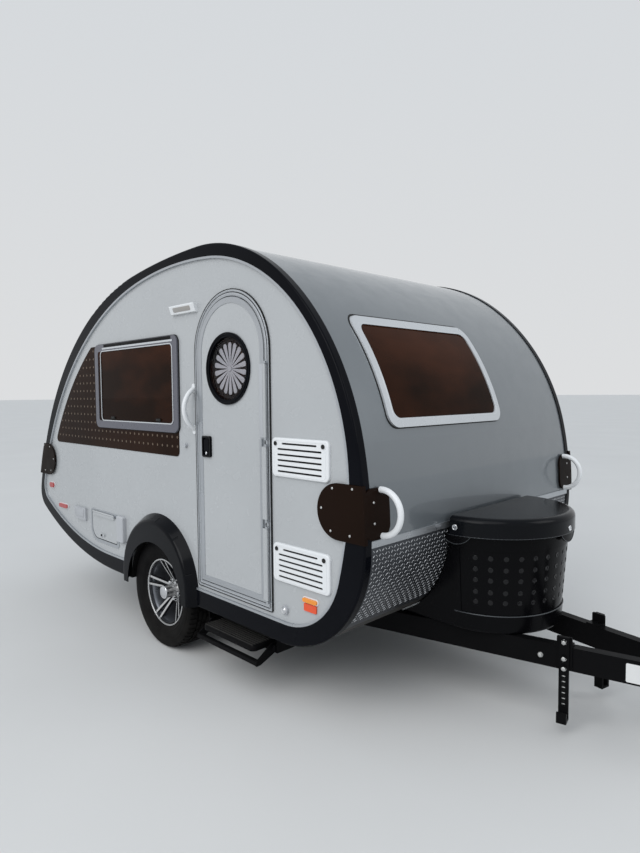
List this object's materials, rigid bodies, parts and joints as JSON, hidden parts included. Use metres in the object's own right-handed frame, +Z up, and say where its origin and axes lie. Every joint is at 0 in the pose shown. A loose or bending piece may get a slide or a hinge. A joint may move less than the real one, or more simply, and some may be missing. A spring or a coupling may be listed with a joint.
{
  "type": "teardrop trailer",
  "caption": "Teardrop travel trailer with an arched door, curved shell, flared fenders and a rounded storage tub on its tongue, standing on its jack.",
  "frame": {"origin": "On the ground under the middle of the overall box.", "axes": "+X points forward to the coupler, +Y to the trailer's left, +Z up. The door is on the right side, at -Y."},
  "size_m": [4.8339, 2.1428, 2.4437],
  "materials": {
    "frame_black": "satin black paint on steel",
    "axle_steel": "black paint on steel",
    "coupler_black": "black paint on forged steel",
    "floor_board": "sealed dark floor board",
    "shell_grey": "glossy grey-blue metallic skin",
    "wall_grey": "glossy light silver-grey skin",
    "checker_plate": "raised diamond pattern, painted",
    "black_gloss": "glossy black moulding",
    "black_satin": "black moulding",
    "satin_aluminium": "satin anodised aluminium",
    "window_frame": "satin grey frame",
    "tinted_pane": "dark tinted pane",
    "dark_skin": "dark dimpled skin",
    "white_plastic": "white moulding",
    "guard_brown": "brown-black moulding",
    "service_grey": "light grey moulding",
    "red_lens": "red lens",
    "amber_lens": "amber lens",
    "cabinet_wood": "warm wood boards",
    "counter_top": "dark worktop",
    "steel_bright": "bright steel",
    "cabin_white": "white panel",
    "upholstery": "woven cover over foam",
    "load_grey": "plain block",
    "tyre": "black rubber",
    "alloy": "machined silver faces over dark pockets",
    "door_grey": "glossy light silver-grey skin",
    "jack_black": "black painted steel tube",
    "jack_zinc": "zinc plated steel tube",
    "step_black": "black painted steel with grip tread"
  },
  "bodies": {
    "trailer": {"chassis_frame": "frame_black", "torsion_axle": "axle_steel", "coupler": "coupler_black", "chassis_brackets": "frame_black", "floor_pan": "floor_board", "body_shell": "shell_grey", "front_checker_plate": "checker_plate", "side_wall_right": "wall_grey", "side_wall_left": "wall_grey", "edge_bands": "black_gloss", "trim_strips": "satin_aluminium", "fenders": "black_gloss", "opening_frames": "satin_aluminium", "window_frames": "window_frame", "window_panes": "tinted_pane", "skin_panels": "dark_skin", "vents_and_porch_lamp": "white_plastic", "corner_guards": "guard_brown", "grab_handles": "white_plastic", "service_fittings": "service_grey", "red_lamps": "red_lens", "amber_lamps": "amber_lens", "roof_vent_frame": "white_plastic", "tub_body": "black_gloss", "tub_load": "load_grey", "cabin_cabinets": "cabinet_wood", "galley_counter": "counter_top", "sink_and_faucet": "steel_bright", "cabin_modules": "cabin_white", "mattress": "upholstery"},
    "door": {"door_leaf": "door_grey", "door_edge_trim": "satin_aluminium", "door_fittings": "black_satin", "porthole_pane": "tinted_pane"},
    "hatch": {"hatch_lid": "door_grey"},
    "tub_cover": {"tub_lid": "black_gloss"},
    "roof_vent": {"roof_vent_lid": "white_plastic"},
    "jack_swivel": {"jack_tube": "jack_black"},
    "jack_foot": {"jack_leg": "jack_zinc"},
    "step": {"step_tray": "step_black"},
    "leg_right": {"stabiliser_right": "frame_black"},
    "leg_left": {"stabiliser_left": "frame_black"},
    "wheel_right": {"tyre_right": "tyre", "rim_right": "alloy"},
    "wheel_left": {"tyre_left": "tyre", "rim_left": "alloy"}
  },
  "joints": [
    {"name": "wheel_right_spin", "type": "hinge", "parent": "trailer", "child": "wheel_right", "pos_m": [-0.475, -0.902, 0.336], "axis": [0, 1, 0], "continuous": true},
    {"name": "wheel_left_spin", "type": "hinge", "parent": "trailer", "child": "wheel_left", "pos_m": [-0.475, 0.902, 0.336], "axis": [0, 1, 0], "continuous": true},
    {"name": "door_swing", "type": "hinge", "parent": "trailer", "child": "door", "pos_m": [0.5755, -1.016, 1.2], "axis": [0, 0, 1], "range_deg": [0, 105]},
    {"name": "hatch_lift", "type": "hinge", "parent": "trailer", "child": "hatch", "pos_m": [-1.226, -1.012, 0.732], "axis": [-1, 0, 0], "range_deg": [0, 110]},
    {"name": "tub_cover_lift", "type": "hinge", "parent": "trailer", "child": "tub_cover", "pos_m": [1.222, 0, 0.95], "axis": [0, -1, 0], "range_deg": [0, 65]},
    {"name": "roof_vent_lift", "type": "hinge", "parent": "trailer", "child": "roof_vent", "pos_m": [-0.522, 0, 2.4007], "axis": [0, -1, 0], "range_deg": [0, 60]},
    {"name": "jack_turn", "type": "hinge", "parent": "trailer", "child": "jack_swivel", "pos_m": [2.06, 0.19492, 0.34], "axis": [-0.2204, -0.9754, 0], "range_deg": [0, 90]},
    {"name": "jack_wind", "type": "slide", "parent": "jack_swivel", "child": "jack_foot", "axis": [0, 0, 1], "range_m": [0, 0.19]},
    {"name": "step_slide", "type": "slide", "parent": "trailer", "child": "step", "axis": [0, 1, 0], "range_m": [0, 0.17]},
    {"name": "leg_right_drop", "type": "hinge", "parent": "trailer", "child": "leg_right", "pos_m": [-1.64, -0.546, 0.258], "axis": [0, 1, 0], "range_deg": [0, 88]},
    {"name": "leg_left_drop", "type": "hinge", "parent": "trailer", "child": "leg_left", "pos_m": [-1.64, 0.546, 0.258], "axis": [0, 1, 0], "range_deg": [0, 88]}
  ]
}
